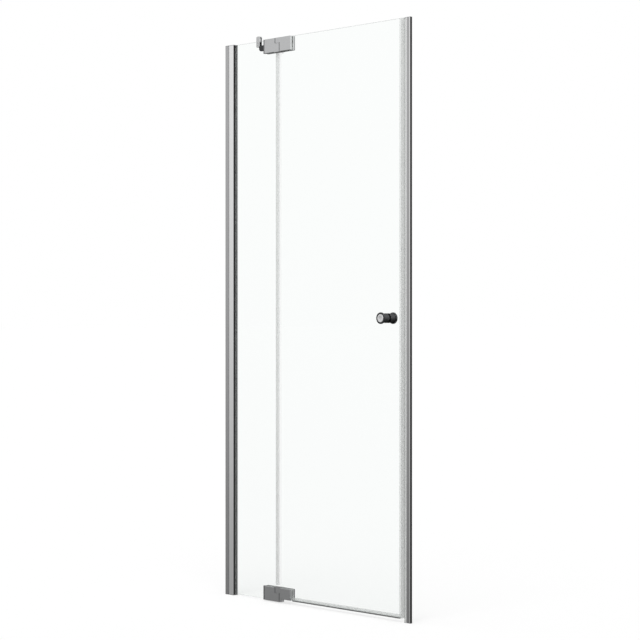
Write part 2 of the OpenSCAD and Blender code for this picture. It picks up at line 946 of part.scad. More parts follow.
// Clear profile on the free edge of the door with a chamber for the magnet
module door_edge_seal() {
    x0 = lip_gap + seal_t - 0.4;
    w = magnet_chamber_w + 0.4;
    d = magnet_chamber_d;
    t = 0.9;
    color(clear)
        translate([door_end, 0, door_glass_lift])
            linear_extrude(height = door_h - door_glass_lift) {
                seal_grip();
                difference() {
                    round_rect(x0, -d / 2, x0 + w, d / 2, 0.6);
                    round_rect(x0 + t, -d / 2 + t, x0 + w - t, d / 2 - t, 0.3);
                }
            }
}

module door_magnet() {
    x0 = door_seal_end - magnet_chamber_w + 0.9 - 0.4 + 0.1;
    w = magnet_chamber_w + 0.4 - 2 * 0.9 - 0.2;
    d = magnet_chamber_d - 2 * 0.9 - 0.2;
    color(dark)
        box(x0, x0 + w, -d / 2, d / 2, door_glass_lift + 2, door_h - 2);
}

// Clear profile under the door with a hollow bulb and a fin that sheds water to the inside
module drip_seal() {
    x0 = axis_x + door_leaf_l + 1;
    x1 = door_end - grip - 0.5;
    fin_t = 0.9;
    fin_y = glass_y + lip_gap + seal_t;
    fin_reach = drip_h * tan(drip_angle);
    color(clear)
        translate([x0, 0, door_glass_lift])
            rotate([0, 90, 0])
                linear_extrude(height = x1 - x0) {
                    seal_grip();
                    translate([seal_t, 0])
                        difference() {
                            circle(drip_h - seal_t);
                            circle(drip_h - seal_t - 0.8);
                            translate([-20 - seal_t + lip_gap + 0.2, -20])
                                square([20, 40]);
                        }
                    polygon([
                        [-0.3, fin_y - 0.4], [lip_gap + seal_t - 0.2, fin_y - 0.4],
                        [drip_h, fin_y + fin_reach - fin_t], [drip_h, fin_y + fin_reach]
                    ]);
                }
}

// Strike profile

// Channel with two short lips that hold the tail of the magnet strip
module strike_profile() {
    lip_h = 0.7 + strike_t / 2;
    color(chrome)
        difference() {
            translate([0, 0, cap_t])
                linear_extrude(height = door_h - 2 * cap_t) {
                    difference() {
                        translate([strike_x, -strike_y])
                            square([strike_w, strike_d]);
                        translate([strike_x - 1, -strike_y + strike_t])
                            square([strike_w + 1 - strike_t - 0.2, strike_d - 2 * strike_t]);
                    }
                    for (y = [-strike_y + strike_t / 2, strike_y - strike_t / 2 - lip_h])
                        translate([strike_x + 1, y])
                            square([1.2, lip_h]);
                }
            wall_slots(right_wall - strike_t - 1, right_wall + 1);
        }
}

module strike_seal() {
    t = 0.9;
    tail_y = strike_y - strike_t - 0.1;
    color(clear)
        translate([0, 0, cap_t])
            linear_extrude(height = door_h - 2 * cap_t) {
                difference() {
                    round_rect(strike_seal_x, -strike_y, strike_x - 0.02, strike_y, 0.5);
                    round_rect(strike_seal_x + t, -strike_y + t, strike_x - t, strike_y - t, 0.3);
                }
                // Tail with a groove for the lips of the profile
                difference() {
                    translate([strike_x - 0.5, -tail_y])
                        square([7, 2 * tail_y]);
                    for (y = [-tail_y - 1, tail_y - 0.7])
                        translate([strike_x + 0.9, y])
                            square([1.4, 1.7]);
                    translate([strike_x + 3.4, -tail_y + 1])
                        square([20, 2 * tail_y - 2]);
                }
            }
}

module strike_magnet() {
    color(dark)
        box(strike_seal_x + 1, strike_x - 1, -strike_y + 1, strike_y - 1, cap_t + 2, door_h - cap_t - 2);
}

module strike_caps() {
    color(chrome)
        for (z = [0, door_h - cap_t])
            box(strike_seal_x, right_wall, -strike_y, strike_y, z, z + cap_t);
}

// Stabiliser holder

stirrup_x = left_wall + stirrup_from_wall;
stirrup_x0 = stirrup_x - stirrup_w / 2;
stirrup_x1 = stirrup_x + stirrup_w / 2;
stirrup_y = stirrup_d / 2;
stirrup_top = door_h + stirrup_rise;
stirrup_low = stirrup_top - stirrup_h;
arch_t = 3.4;
tab_y = stirrup_y - strap_t;
arm_y = 8.2;
arm_z = fixed_glass_top - 1.5;
arm_low = arm_z - 35;
arm_high = arm_low + arm_h;
arm_end = axis_x - fixed_leaf_l;
tongue_l = 3.5;

// Strap bent over the top of the pane, with the loop for the stabiliser bar above the glass
module stirrup() {
    inner = stirrup_y - strap_t;
    color(bright)
        difference() {
            intersection() {
                translate([stirrup_x0, 0, 0])
                    rotate([90, 0, 90])
                        linear_extrude(height = stirrup_w)
                            difference() {
                                intersection() {
                                    round_rect(-stirrup_y, stirrup_low - 10, stirrup_y, stirrup_top, 4);
                                    translate([-stirrup_y, stirrup_low])
                                        square([stirrup_d, stirrup_h]);
                                }
                                round_rect(-inner, stirrup_low - 20, inner, stirrup_top - arch_t, 2);
                            }
                translate([0, stirrup_d, 0])
                    rotate([90, 0, 0])
                        linear_extrude(height = 2 * stirrup_d)
                            round_rect(stirrup_x0, stirrup_low, stirrup_x1, stirrup_top, strap_r);
            }
            translate([stirrup_x, 0, stirrup_top - arch_t - 1])
                cylinder(r = bar_hole_r, h = arch_t + 2);
            for (z = stirrup_screw_z)
                rod_y(stirrup_x, z, 2.05, -stirrup_y - 1, -inner + 1);
        }
}

stirrup_screw_z = [stirrup_low + 6, stirrup_low + 15];

// Rounded block beside the hinge, with a tab under the stirrup and a tongue in the hinge
module stirrup_arm() {
    r = arm_h / 2 - 0.1;
    color(dark) {
        intersection() {
            rotate([90, 0, 0])
                translate([0, 0, glass_y + 0.05])
                    linear_extrude(height = arm_y - glass_y - 0.05)
                        round_rect(stirrup_x1 + 0.1, arm_low, arm_end + 2 * r, arm_high, r);
            box(stirrup_x1, arm_end - 0.1, -arm_y - 1, 0, arm_low - 1, arm_high + 1);
        }
        box(stirrup_x0 + 0.5, stirrup_x1 - 0.5, -tab_y + 0.05, -glass_y - 0.05, stirrup_low + 1, arm_z - 1);
        box(stirrup_x1 - 1, stirrup_x1 + r, -tab_y + 0.05, -glass_y - 0.05, stirrup_low + 1, arm_high - 1);
        box(arm_end - r, arm_end + tongue_l, -arm_y + 0.5, -arm_y + 3, arm_low + 2, arm_high - 2);
    }
}

module arm_groove() {
    box(arm_end - 1, arm_end + tongue_l + 0.1, -arm_y + 0.4, -arm_y + 3.1,
        arm_low + 1.9, arm_high - 1.9);
}

module stirrup_pad() {
    color(clear)
        box(stirrup_x0 + 0.5, stirrup_x1 - 0.5, glass_y, tab_y, stirrup_low + 1, fixed_glass_top - 2);
}

module stirrup_screws() {
    color(bright)
        for (z = stirrup_screw_z)
            difference() {
                rod_y(stirrup_x, z, 2, -stirrup_y + 0.1, -tab_y);
                translate([stirrup_x, -stirrup_y + 1.4, z])
                    rotate([90, 0, 0])
                        cylinder(r = 1.1, h = 3, $fn = 6);
            }
}

wall_channel();
glass_profile();
front_glazing_gasket();
rear_glazing_tape();
setting_block();
top_profile_cap();
bottom_profile_cap();
adjusting_screws();
screw_covers();
fixed_glass();
upper_fixed_leaf();
upper_fixed_clamp();
upper_fixed_gaskets();
upper_fixed_screws();
lower_fixed_leaf();
lower_fixed_clamp();
lower_fixed_gaskets();
lower_fixed_screws();
fixed_cams();
pin_plugs();
pivot_pins();
door_cams();
door_glass();
upper_door_leaf();
upper_door_clamp();
upper_door_gaskets();
upper_door_screws();
lower_door_leaf();
lower_door_clamp();
lower_door_gaskets();
lower_door_screws();
knob_front();
knob_back();
knob_discs();
knob_stud();
knob_sleeve();
knob_washers();
gap_seal();
door_edge_seal();
door_magnet();
drip_seal();
strike_profile();
strike_seal();
strike_magnet();
strike_caps();
stirrup();
stirrup_arm();
stirrup_pad();
stirrup_screws();
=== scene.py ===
"""Looks of a hinged glass shower door for a niche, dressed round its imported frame.

A narrow pane stands in a bright wall profile. A wide pane turns on two chrome hinges, carries a
round knob and closes with a clear magnet seal against a slim strike profile.
The classes that model hold their sizes in millimetres. Finishes and the studio hold places in
metres, in the frame's axes: x along the niche, y from front to back and z up.
"""
import logging
import math
from dataclasses import dataclass, field
from enum import Enum
from typing import Any, Callable, Sequence

import bpy
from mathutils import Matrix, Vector


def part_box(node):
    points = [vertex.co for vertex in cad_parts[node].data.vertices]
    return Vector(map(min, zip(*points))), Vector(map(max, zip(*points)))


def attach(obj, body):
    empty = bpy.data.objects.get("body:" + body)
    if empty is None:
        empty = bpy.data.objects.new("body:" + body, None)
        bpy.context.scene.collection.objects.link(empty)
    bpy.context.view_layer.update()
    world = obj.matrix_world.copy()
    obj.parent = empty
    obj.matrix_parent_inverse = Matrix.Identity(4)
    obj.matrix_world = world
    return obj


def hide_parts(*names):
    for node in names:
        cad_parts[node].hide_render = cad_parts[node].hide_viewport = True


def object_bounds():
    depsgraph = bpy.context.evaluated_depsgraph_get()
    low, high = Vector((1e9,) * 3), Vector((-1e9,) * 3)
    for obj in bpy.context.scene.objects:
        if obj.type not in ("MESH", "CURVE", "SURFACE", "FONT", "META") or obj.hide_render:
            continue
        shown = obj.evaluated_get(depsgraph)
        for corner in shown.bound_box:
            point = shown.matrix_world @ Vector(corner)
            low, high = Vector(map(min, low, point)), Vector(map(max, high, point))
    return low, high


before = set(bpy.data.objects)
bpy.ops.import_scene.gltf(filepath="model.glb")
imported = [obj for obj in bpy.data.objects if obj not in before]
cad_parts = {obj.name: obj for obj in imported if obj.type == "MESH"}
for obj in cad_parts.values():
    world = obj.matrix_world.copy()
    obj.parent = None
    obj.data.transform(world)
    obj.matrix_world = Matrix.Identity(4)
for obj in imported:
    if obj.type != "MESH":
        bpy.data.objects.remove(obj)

MM = 0.001
LOG = logging.getLogger("shower_door")
CAD_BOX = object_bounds()
FAR = 9.0  # a place in metres beyond every piece, so that a mask from there on is empty
TOUCHING = 1e-6  # points nearer than this, in metres, are one

Colour = tuple[float, float, float]
Axes = tuple[float, float, float]
Pair = tuple[float, float]
Inputs = dict[str | int, Any]


class Body(Enum):
    """The bodies that the new pieces ride on."""

    FRAME = "frame"
    DOOR = "door"


class Slot(Enum):
    """The material slots of the record."""

    CHROME = "chrome_plate"
    BRIGHT = "bright_aluminium"
    WALL = "wall_aluminium"
    RUBBER = "black_rubber"
    VINYL = "clear_pvc"
    GLASS = "clear_glass"
    STEEL = "stainless"
    ACETAL = "acetal"
    FERRITE = "magnet"
    SMOKED = "smoked_chrome"
    DISC = "mirror_disc"


# Patterns


@dataclass(frozen=True)
class Grain:
    """A cloudy pattern round 0.5.

    scale counts features for each metre, and detail octaves of finer noise. A small number in
    stretch draws the pattern out along that axis.
    """

    scale: float
    detail: float = 2.0
    stretch: Axes = (1.0, 1.0, 1.0)


@dataclass(frozen=True)
class Span:
    """A value that follows a pattern: a base, and what the pattern's full height adds to it."""

    base: float
    swing: float

    def at(self, pattern: "Wire") -> "Wire":
        """The value for this height of the pattern."""
        return self.base + self.swing * pattern


@dataclass(frozen=True)
class Relief:
    """How strongly a pattern bends the normal, and its depth in mm."""

    strength: float
    depth: float


# Shader graphs


def arithmetic(
    operation: str, swapped: bool = False
) -> Callable[["Wire", "Wire | float"], "Wire"]:
    """Makes a method of Wire that adds a Math node.

    Args:
        operation: what the node does.
        swapped: puts the other operand first.

    Returns:
        The method.
    """

    def method(self: "Wire", other: "Wire | float") -> "Wire":
        """Applies the operation to this wire and another wire or a number."""
        operands = (other, self) if swapped else (self, other)
        return self.graph.math(operation, *operands)

    return method


class Wire:
    """An output of a shader graph that takes part in Python's arithmetic.

    A comparison gives a mask, 1 where it holds and else 0, and | joins two masks.
    """

    def __init__(self, graph: "Graph", socket: bpy.types.NodeSocket) -> None:
        """Keeps the graph and the socket."""
        self.graph = graph
        self.socket = socket

    __add__ = arithmetic("ADD")
    __radd__ = arithmetic("ADD", swapped=True)
    __sub__ = arithmetic("SUBTRACT")
    __rsub__ = arithmetic("SUBTRACT", swapped=True)
    __mul__ = arithmetic("MULTIPLY")
    __rmul__ = arithmetic("MULTIPLY", swapped=True)
    __truediv__ = arithmetic("DIVIDE")
    __gt__ = arithmetic("GREATER_THAN")
    __lt__ = arithmetic("LESS_THAN")
    __or__ = arithmetic("MAXIMUM")

    def between(self, low: float, high: float) -> "Wire":
        """1 between two numbers, else 0."""
        return (self > low) * (self < high)


class Graph:
    """The node tree of a material or of the world."""

    # The colour sockets of a Mix node, which it has by number only.
    MIX_LOW, MIX_HIGH, MIX_RESULT = 6, 7, 2

    def __init__(self, owner: bpy.types.Material | bpy.types.World) -> None:
        """Starts an empty tree.

        Args:
            owner: the material or world whose tree this is.
        """
        owner.use_nodes = True
        self.tree = owner.node_tree
        self.tree.nodes.clear()

    def node(
        self,
        kind: str,
        settings: dict[str, Any] | None = None,
        inputs: Inputs | None = None,
    ) -> bpy.types.Node:
        """Makes a node, sets it and fills its sockets.

        Args:
            kind: the node's type.
            settings: its settings, set first; "stops" holds a ramp's places and grey levels.
            inputs: the values or links of its sockets, by name or number.

        Returns:
            The new node.
        """
        made = self.tree.nodes.new(kind)
        for name, value in (settings or {}).items():
            if name == "stops":
                self._set_stops(made.color_ramp.elements, value)
            else:
                setattr(made, name, value)
        for name, value in (inputs or {}).items():
            if isinstance(value, Wire):
                self.tree.links.new(value.socket, made.inputs[name])
            else:
                made.inputs[name].default_value = value
        return made

    @staticmethod
    def _set_stops(elements: bpy.types.ColorRampElements, stops: Sequence[Pair]) -> None:
        """Sets a ramp's stops.

        Args:
            elements: the ramp's stops as they are.
            stops: the place and the grey level of each stop.
        """
        while len(elements) < len(stops):
            elements.new(0.5)
        for element, (place, level) in zip(elements, stops):
            element.position = place
            element.color = (level, level, level, 1.0)

    def wire(
        self,
        kind: str,
        settings: dict[str, Any] | None = None,
        inputs: Inputs | None = None,
        output: str | int = 0,
    ) -> Wire:
        """Makes a node and returns one of its outputs."""
        return Wire(self, self.node(kind, settings, inputs).outputs[output])

    def math(self, operation: str, a: "Wire | float", b: "Wire | float" = 0.0) -> Wire:
        """Adds a Math node on two numbers."""
        return self.wire("ShaderNodeMath", {"operation": operation}, {0: a, 1: b})

    def scaled(self, colour: "Colour | Wire", amount: Wire) -> Wire:
        """A colour made lighter or darker by an amount that varies."""
        inputs = {0: colour, "Scale": amount}
        return self.wire("ShaderNodeVectorMath", {"operation": "SCALE"}, inputs)

    def mixed(self, share: Wire, low: Colour, high: Colour) -> Wire:
        """A mix of two colours, the first where the share is 0 and the second where it is 1."""
        inputs = {0: share, self.MIX_LOW: (*low, 1.0), self.MIX_HIGH: (*high, 1.0)}
        return self.wire("ShaderNodeMix", {"data_type": "RGBA"}, inputs, self.MIX_RESULT)

    def place(self) -> Wire:
        """The point on the surface, in the door's own frame."""
        return self.wire("ShaderNodeTexCoord", output="Object")

    def axes(self) -> tuple[Wire, ...]:
        """The point's x, y and z."""
        parts = self.node("ShaderNodeSeparateXYZ", inputs={0: self.place()})
        return tuple(Wire(self, output) for output in parts.outputs)

    def noise(self, grain: Grain) -> Wire:
        """Adds a cloudy pattern.

        Args:
            grain: its size, detail and stretch.

        Returns:
            Its height at each point.
        """
        mapped = self.wire(
            "ShaderNodeMapping", inputs={"Vector": self.place(), "Scale": grain.stretch}
        )
        return self.wire(
            "ShaderNodeTexNoise",
            inputs={"Vector": mapped, "Scale": grain.scale, "Detail": grain.detail},
        )

    def bump(self, height: Wire, relief: Relief) -> Wire:
        """A normal that follows a height."""
        inputs = {"Height": height, "Strength": relief.strength, "Distance": relief.depth * MM}
        return self.wire("ShaderNodeBump", inputs=inputs)

    def shader(self, inputs: Inputs) -> Wire:
        """A Principled shader with these sockets."""
        return self.wire("ShaderNodeBsdfPrincipled", inputs=inputs)

    def through(self, tint: Colour, share: Wire, skin: Wire) -> Wire:
        """Lets light pass straight through, apart from the share that a skin returns."""
        clear = self.wire("ShaderNodeBsdfTransparent", inputs={"Color": (*tint, 1.0)})
        return self.wire("ShaderNodeMixShader", inputs={0: share, 1: clear, 2: skin})

    def glance(self) -> Wire:
        """0 where a surface is seen square on and 1 where it is seen along its face."""
        return self.wire("ShaderNodeLayerWeight", inputs={"Blend": 0.5}, output="Facing")

    def surface(self, shader: Wire) -> None:
        """Connects the finished shader to the material's output."""
        self.node("ShaderNodeOutputMaterial", inputs={"Surface": shader})


# Finishes


@dataclass(frozen=True)
class Finish:
    """A finish that is laid on pieces as one material."""

    name: str
    slot: Slot

    def shade(self, graph: Graph) -> Wire:
        """Builds the finish's shader in a node tree."""
        raise NotImplementedError

    def material(self) -> bpy.types.Material:
        """Makes the finish's material on first use.

        Returns:
            The material.
        """
        known = bpy.data.materials.get(self.name)
        if known:
            return known
        made = bpy.data.materials.new(self.name)
        graph = Graph(made)
        graph.surface(self.shade(graph))
        return made


@dataclass(frozen=True)
class Chrome(Finish):
    """Polished chrome with faint wiping marks."""

    colour: Colour = (0.57, 0.575, 0.58)
    roughness: float = 0.07
    wiping: float = 0.07
    tone: Span = Span(0.965, 0.07)
    wiped: Grain = Grain(26.0, 3.0, (1.0, 1.0, 0.45))
    cast: Grain = Grain(9.0, 1.0)
    fine: Grain = Grain(420.0)
    relief: Relief = Relief(0.05, 0.05)

    def shadow(self, graph: Graph) -> "Wire | float":
        """The share of the tone that painted shade leaves, all of it on plain chrome."""
        return 1.0

    def shade(self, graph: Graph) -> Wire:
        """Metal whose gloss and tone change a little where it has been wiped.

        Args:
            graph: the node tree.

        Returns:
            The shader.
        """
        tone = self.tone.at(graph.noise(self.cast)) * self.shadow(graph)
        return graph.shader(
            {
                "Base Color": graph.scaled(self.colour, tone),
                "Metallic": 1.0,
                "Roughness": self.roughness + self.wiping * graph.noise(self.wiped),
                "Normal": graph.bump(graph.noise(self.fine), self.relief),
            }
        )


@dataclass(frozen=True)
class SeamShadedChrome(Chrome):
    """Chrome of a hinge with painted shade in the lower upright seam and where its two ends turn
    away.

    seam holds its x and the z of its top. Its painted shade lies in front of front_y only. The
    outer end takes painted shade up to start_x, and the inner end past the x and y of rear.
    """

    seam: Pair = (FAR, FAR)
    seam_half: float = 0.8 * MM
    seam_shade: float = 0.94
    front_y: float = -5.0 * MM
    start_x: float = -FAR
    rear: Pair = (FAR, FAR)
    end_shade: float = 0.66

    def shadow(self, graph: Graph) -> Wire:
        """Paints shade into the seam and onto both ends.

        Args:
            graph: the node tree.

        Returns:
            The share of the tone that is left.
        """
        x, y, z = graph.axes()
        (seam_x, seam_top), (rear_x, rear_y) = self.seam, self.rear
        across = x.between(seam_x - self.seam_half, seam_x + self.seam_half)
        # painted shade in the seam and at both ends
        seam = across * (y < self.front_y) * (z < seam_top)
        end = (x < self.start_x) | ((x > rear_x) * (y > rear_y))
        return (1.0 - self.seam_shade * seam) * (1.0 - self.end_shade * end)


@dataclass(frozen=True)
class Extrusion(Finish):
    """Bright-dipped aluminium with the fine lines of the die along its length.

    Past its limit in x or in y it takes painted shade: a dark colour, with less metal and
    less gloss.
    """

    colour: Colour = (0.92, 0.92, 0.925)
    roughness: float = 0.11
    lines: float = 0.05
    shade_colour: Colour = (0.26, 0.26, 0.262)
    shade_x: float = FAR
    shade_y: float = FAR
    dull_metal: float = 0.8
    dull_gloss: float = 0.25
    clouding: float = 0.03
    die_gloss: float = 0.1
    die: Grain = Grain(520.0, 3.0, (1.0, 1.0, 0.0015))
    cloud: Grain = Grain(5.0)
    relief: Relief = Relief(0.12, 0.04)

    def border(self, x: Wire) -> "Wire | float":
        """The painted tone of the face across its width, plain on a plain profile."""
        return 1.0

    def shade(self, graph: Graph) -> Wire:
        """Metal with die lines in its tone, gloss and relief, and painted shade with less gloss on
        one side.

        Args:
            graph: the node tree.

        Returns:
            The shader.
        """
        x, y, _ = graph.axes()
        die, cloud = graph.noise(self.die), graph.noise(self.cloud)
        tone = 1.0 - self.lines / 2 + self.lines * die + self.clouding * (cloud - 0.5)
        # painted shade past the limit in x or in y
        shaded = (x > self.shade_x) | (y > self.shade_y)
        colour = graph.mixed(shaded, self.colour, self.shade_colour)
        return graph.shader(
            {
                "Base Color": graph.scaled(colour, tone * self.border(x)),
                "Metallic": 1.0 - self.dull_metal * shaded,
                "Roughness": self.roughness + self.die_gloss * die + self.dull_gloss * shaded,
                "Normal": graph.bump(die, self.relief),
            }
        )


@dataclass(frozen=True)
class ShadeBanded(Extrusion):
    """Aluminium with a band of painted shade along x, which leaves the two borders beside it as
    painted highlights.
    """

    band: Pair = field(kw_only=True)
    # the tone left in the band of painted shade
    satin: float = 0.52

    def border(self, x: Wire) -> Wire:
        """1 on the borders, which stand as painted highlights, and less on the band of painted
        shade between them.
        """
        return 1.0 - (1.0 - self.satin) * x.between(*self.band)


@dataclass(frozen=True)
class Grained(Finish):
    """A surface with a cloud in its tone, and a skin in its gloss and relief."""

    colour: Colour
    tone: Span
    cloud: Grain
    roughness: Span
    skin: Grain
    relief: Relief
    marking: float = 0.0

    def base(self, graph: Graph) -> "Colour | Wire":
        """Its colour before cloud and skin change it."""
        return self.colour

    def extras(self, skin: Wire) -> Inputs:
        """The sockets that only this surface sets."""
        return {}

    def shade(self, graph: Graph) -> Wire:
        """A surface that the cloud makes uneven in tone, and the skin in gloss and height.

        Args:
            graph: the node tree.

        Returns:
            The shader.
        """
        skin = graph.noise(self.skin)
        tone = self.tone.at(graph.noise(self.cloud)) + self.marking * skin
        return graph.shader(
            {
                "Base Color": graph.scaled(self.base(graph), tone),
                "Roughness": self.roughness.at(skin),
                "Normal": graph.bump(skin, self.relief),
                **self.extras(skin),
            }
        )


@dataclass(frozen=True)
class Rubber(Grained):
    """Matt black rubber, dry and uneven, and a softer grey past sole_y, where it bears on glass."""

    colour: Colour = (0.009, 0.0093, 0.0096)
    tone: Span = Span(0.75, 0.6)
    cloud: Grain = Grain(60.0, 4.0, (1.0, 1.0, 0.3))
    roughness: Span = Span(0.52, 0.2)
    skin: Grain = Grain(900.0, 3.0)
    relief: Relief = Relief(0.3, 0.05)
    specular: float = 0.18
    sole: Colour = (0.2, 0.202, 0.204)
    sole_y: float = FAR

    def base(self, graph: Graph) -> Wire:
        """Black, and grey on the sole."""
        return graph.mixed(graph.axes()[1] > self.sole_y, self.colour, self.sole)

    def extras(self, skin: Wire) -> Inputs:
        """Less shine than plastic has."""
        return {"Specular IOR Level": self.specular}


@dataclass(frozen=True)
class Moulding(Grained):
    """Matt plastic, glazing tape or bonded magnet strip, with a fine spark-eroded skin."""

    colour: Colour = (0.78, 0.78, 0.76)
    tone: Span = Span(0.94, 0.12)
    cloud: Grain = Grain(70.0, 3.0)
    roughness: Span = Span(0.42, 0.12)
    skin: Grain = Grain(1300.0)
    relief: Relief = Relief(0.15, 0.03)


@dataclass(frozen=True)
class Steel(Grained):
    """Plain stainless steel from the lathe, with fine tool marks."""

    colour: Colour = (0.6, 0.595, 0.585)
    tone: Span = Span(0.9, 0.12)
    cloud: Grain = Grain(45.0, 3.0)
    roughness: Span = Span(0.2, 0.14)
    skin: Grain = Grain(1500.0, 2.0, (1.0, 0.1, 1.0))
    relief: Relief = Relief(0.15, 0.02)
    marking: float = 0.08

    def extras(self, skin: Wire) -> Inputs:
        """All metal."""
        return {"Metallic": 1.0}


GRINDING = Grain(700.0, 2.0, (1.0, 0.05, 1.0))


@dataclass(frozen=True)
class GlassEdge(Grained):
    """The ground and polished edge of a pane, slightly frosted, with grinding marks across it."""

    colour: Colour = (0.72, 0.78, 0.755)
    tone: Span = Span(0.94, 0.12)
    cloud: Grain = GRINDING
    roughness: Span = Span(0.16, 0.2)
    skin: Grain = GRINDING
    relief: Relief = Relief(0.2, 0.03)
    ior: float = 1.5
    body: float = 0.36
    frost: float = 0.08

    def extras(self, skin: Wire) -> Inputs:
        """A milky body that the frost varies."""
        return {"IOR": self.ior, "Alpha": self.body - self.frost / 2 + self.frost * skin}


@dataclass(frozen=True)
class Vinyl(Finish):
    """Clear soft PVC with flow lines along its length.

    body is how milky it is. The clear lip starts at lip_x, and the clear rear at rear_y, up to
    the web beside the lip. A band of painted shade starts and ends along z where it is given.
    The colour holds one metre up, and painted light makes it paler for each metre upwards.
    """

    body: float
    colour: Colour = (0.84, 0.86, 0.85)
    along: Axes = (1.0, 1.0, 0.004)
    lip_x: float = FAR
    rear_y: float = FAR
    web: float = 2.0 * MM
    clearing: float = 0.93
    shade_band: Pair = (-FAR, -FAR)
    shade_band_dark: float = 0.76
    shade_band_body: float = 0.58
    painted_light_rise: float = 0.0
    streaks: float = 0.06
    clouding: float = 0.03
    ior: float = 1.45
    tone: Span = Span(0.97, 0.04)
    roughness: Span = Span(0.12, 0.1)
    flow_scale: float = 380.0
    cloud: Grain = Grain(14.0)
    relief: Relief = Relief(0.1, 0.05)

    def shade(self, graph: Graph) -> Wire:
        """A milky body with flow lines, clear lip and rear, painted light rising up, painted shade
        below.

        Args:
            graph: the node tree.

        Returns:
            The shader.
        """
        x, y, z = graph.axes()
        flow = graph.noise(Grain(self.flow_scale, stretch=self.along))
        cloud = graph.noise(self.cloud)
        tone = self.tone.at(flow) + self.clouding * (cloud - 0.5)
        # painted light: paler higher up, darker lower down
        tone = tone * (1.0 + self.painted_light_rise * (z - 1.0))
        clear = (x > self.lip_x) | ((y > self.rear_y) * (x < self.lip_x - self.web))
        # painted shade: a dark band along the bottom
        shade_band = z.between(*self.shade_band)
        body = self.body - self.streaks / 2 + self.streaks * flow
        return graph.shader(
            {
                "Base Color": graph.scaled(self.colour, tone * (1.0 - self.shade_band_dark * shade_band)),
                "Roughness": self.roughness.at(flow),
                "IOR": self.ior,
                "Alpha": body * (1.0 - self.clearing * clear) + self.shade_band_body * shade_band,
                "Normal": graph.bump(flow, self.relief),
            }
        )


@dataclass(frozen=True)
class Glass(Finish):
    """Clear toughened glass, a touch green, with water marks that are barely there.

    square is the share that one face mirrors where it is seen square on, and rise the power with
    which the mirror grows towards a grazing view.
    """

    tint: Colour = (0.988, 0.996, 0.992)
    square: float = 0.018
    rise: float = 5.0
    mirror: Colour = (0.98, 1.0, 0.99)
    tone: Span = Span(0.97, 0.04)
    roughness: Span = Span(0.01, 0.02)
    marks: Grain = Grain(7.0, 4.0)
    wave: Grain = Grain(1.6, 0.0, (1.0, 1.0, 0.35))
    relief: Relief = Relief(0.02, 0.2)

    def shade(self, graph: Graph) -> Wire:
        """A clear pane that mirrors a little, and more where it is seen along its face.

        Args:
            graph: the node tree.

        Returns:
            The shader.
        """
        marks = graph.noise(self.marks)
        grazing = graph.math("POWER", graph.glance(), self.rise)
        skin = graph.shader(
            {
                "Base Color": graph.scaled(self.mirror, self.tone.at(marks)),
                "Metallic": 1.0,
                "Roughness": self.roughness.at(marks),
                "Normal": graph.bump(graph.noise(self.wave), self.relief),
            }
        )
        return graph.through(self.tint, self.square + (1.0 - self.square) * grazing, skin)


@dataclass(frozen=True)
class TurnedDisc(Finish):
    """Satin chrome with the rings that the lathe leaves round the knob's axis.

    centre is x and z of the axis. pitch and middle_r are in mm. wear changes tone and gloss.
    """

    centre: Pair
    colour: Colour = (0.94, 0.945, 0.95)
    pitch: float = 0.35
    middle_r: float = 6.2
    middle_shade: float = 0.16
    wear: Pair = (0.06, 0.05)
    tone: Span = Span(0.93, 0.06)
    roughness: Span = Span(0.19, 0.06)
    worn: Grain = Grain(90.0, 3.0)
    relief: Relief = Relief(0.12, 0.012)

    def shade(self, graph: Graph) -> Wire:
        """Metal with fine rings and painted shade in its recessed middle.

        Args:
            graph: the node tree.

        Returns:
            The shader.
        """
        x, _, z = graph.axes()
        dx, dz = x - self.centre[0], z - self.centre[1]
        radius = graph.math("SQRT", dx * dx + dz * dz)
        turns = radius * (2 * math.pi / (self.pitch * MM))
        ring = 0.5 + 0.5 * graph.math("SINE", turns)
        worn = graph.noise(self.worn)
        tone = self.tone.at(ring) + self.wear[0] * worn
        # painted shade in the recessed middle of the disc
        tone = tone - self.middle_shade * (radius < self.middle_r * MM)
        return graph.shader(
            {
                "Base Color": graph.scaled(self.colour, tone),
                "Metallic": 1.0,
                "Roughness": self.roughness.at(ring) + self.wear[1] * worn,
                "Normal": graph.bump(ring, self.relief),
            }
        )


CHROME = Chrome("polished_chrome", Slot.CHROME)
SMOKED = Chrome("dark_chrome", Slot.SMOKED, colour=(0.084, 0.086, 0.089), roughness=0.46)
# painted shade on the rear of the glass profile, behind the pane
BRIGHT = Extrusion("bright_aluminium_profile", Slot.BRIGHT, shade_y=4.2 * MM)
WALL = Extrusion(
    "satin_aluminium_channel",
    Slot.WALL,
    colour=(0.49, 0.49, 0.495),
    roughness=0.14,
    lines=0.07,
)
# the strike takes painted shade on its wall side and down a band of its face, leaving painted
# highlights at its borders
STRIKE = ShadeBanded(
    "strike_aluminium",
    Slot.WALL,
    colour=(0.85, 0.85, 0.855),
    roughness=0.13,
    lines=0.07,
    shade_colour=(0.006, 0.006, 0.0065),
    shade_x=CAD_BOX[1][0] - 0.3 * MM,
    band=(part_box("strike_profile")[0].x + 3.5 * MM, CAD_BOX[1][0] - 4.5 * MM),
)
RUBBER = Rubber("black_rubber_strip", Slot.RUBBER)
WEDGE = Rubber("black_wedge_rubber", Slot.RUBBER, sole_y=-4.6 * MM)
